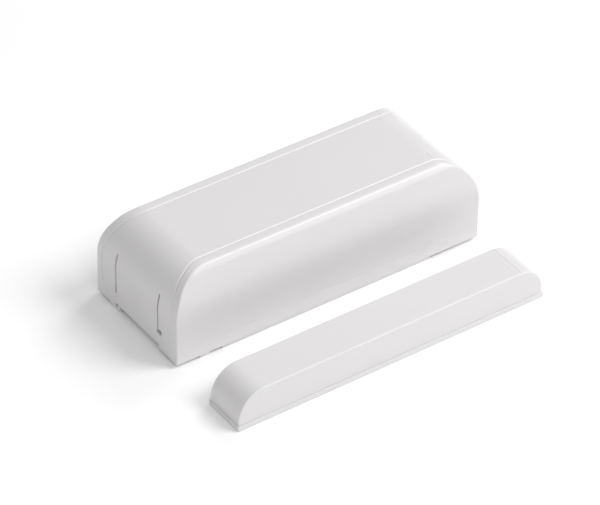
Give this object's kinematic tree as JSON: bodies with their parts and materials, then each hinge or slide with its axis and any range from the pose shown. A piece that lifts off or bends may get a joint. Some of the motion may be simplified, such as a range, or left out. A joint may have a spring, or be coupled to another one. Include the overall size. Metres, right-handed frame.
{
  "type": "wireless door contact sensor",
  "caption": "Domed wall-mounted transmitter with a hinged cover and a slim bar magnet unit, for sensing whether a door or window is open.",
  "frame": {"origin": "centre of the transmitter's footprint, on the face of its base plate that meets the wall", "axes": "+X along the transmitter from its release tab to its hinge, +Z out of the wall towards the top of the cover, -Y from the transmitter towards the magnet unit"},
  "size_m": [0.0817, 0.0562, 0.0225],
  "materials": {
    "shell_white": "satin moulded white plastic with a very fine spark texture",
    "inner_white": "matt moulded plastic",
    "board_green": "green solder mask",
    "black_plastic": "matt black moulding",
    "terminal_green": "satin green moulding",
    "cell_wrap": "shrunk printed sleeve without lettering",
    "reed_glass": "clear glass with a faint green tint",
    "light_lens": "clear red lens",
    "foam": "closed-cell foam",
    "tinned": "tinned metal",
    "nickel": "nickel plate",
    "copper": "bare copper wire"
  },
  "bodies": {
    "transmitter_base": {"base_plate": "shell_white", "battery_holder": "inner_white", "battery_cell": "cell_wrap", "battery_cap": "nickel", "negative_contact": "nickel", "positive_contact": "nickel", "contact_spring": "nickel", "circuit_board": "board_green", "board_screw": "nickel", "reed_glass": "reed_glass", "reed_lead_left": "tinned", "reed_lead_right": "tinned", "tamper_switch": "black_plastic", "enrol_button_body": "black_plastic", "terminal_block": "terminal_green", "terminal_screw_1": "tinned", "terminal_screw_2": "tinned", "capacitor": "tinned", "radio_module": "tinned", "antenna_coil": "copper", "microcontroller": "black_plastic", "crystal": "tinned", "status_light": "light_lens"},
    "cover": {"transmitter_cover": "shell_white"},
    "tab": {"release_tab": "shell_white"},
    "plunger": {"tamper_plunger": "inner_white"},
    "enrol_button": {"enrol_button_cap": "inner_white"},
    "magnet_unit": {"magnet_base": "shell_white", "bar_magnet": "nickel", "magnet_pad": "foam"},
    "magnet_lid": {"magnet_cover": "shell_white"}
  },
  "joints": [
    {"name": "cover_open", "type": "hinge", "parent": "transmitter_base", "child": "cover", "pos_m": [0.0386, 0, 0.0026], "axis": [0, 1, 0], "range_deg": [0, 50]},
    {"name": "tab_flex", "type": "hinge", "parent": "cover", "child": "tab", "pos_m": [-0.0386, 0, 0.0152], "axis": [0, 1, 0], "range_deg": [0, 5], "stiffness_Nm_per_rad": 0.4},
    {"name": "plunger_rise", "type": "slide", "parent": "transmitter_base", "child": "plunger", "axis": [0, 0, 1], "range_m": [0, 0.0008]},
    {"name": "enrol_press", "type": "slide", "parent": "transmitter_base", "child": "enrol_button", "axis": [0, 0, 1], "range_m": [-0.00025, 0], "stiffness_N_per_m": 800},
    {"name": "magnet_travel", "type": "slide", "parent": "transmitter_base", "child": "magnet_unit", "axis": [0, -1, 0], "range_m": [-0.008, 0.06]},
    {"name": "magnet_lid_lift", "type": "slide", "parent": "magnet_unit", "child": "magnet_lid", "axis": [0, 0, 1], "range_m": [0, 0.012]}
  ],
  "couplings": [
    {"joint": "plunger_rise", "follows": "cover_open", "m_per_rad": 0.00091}
  ]
}
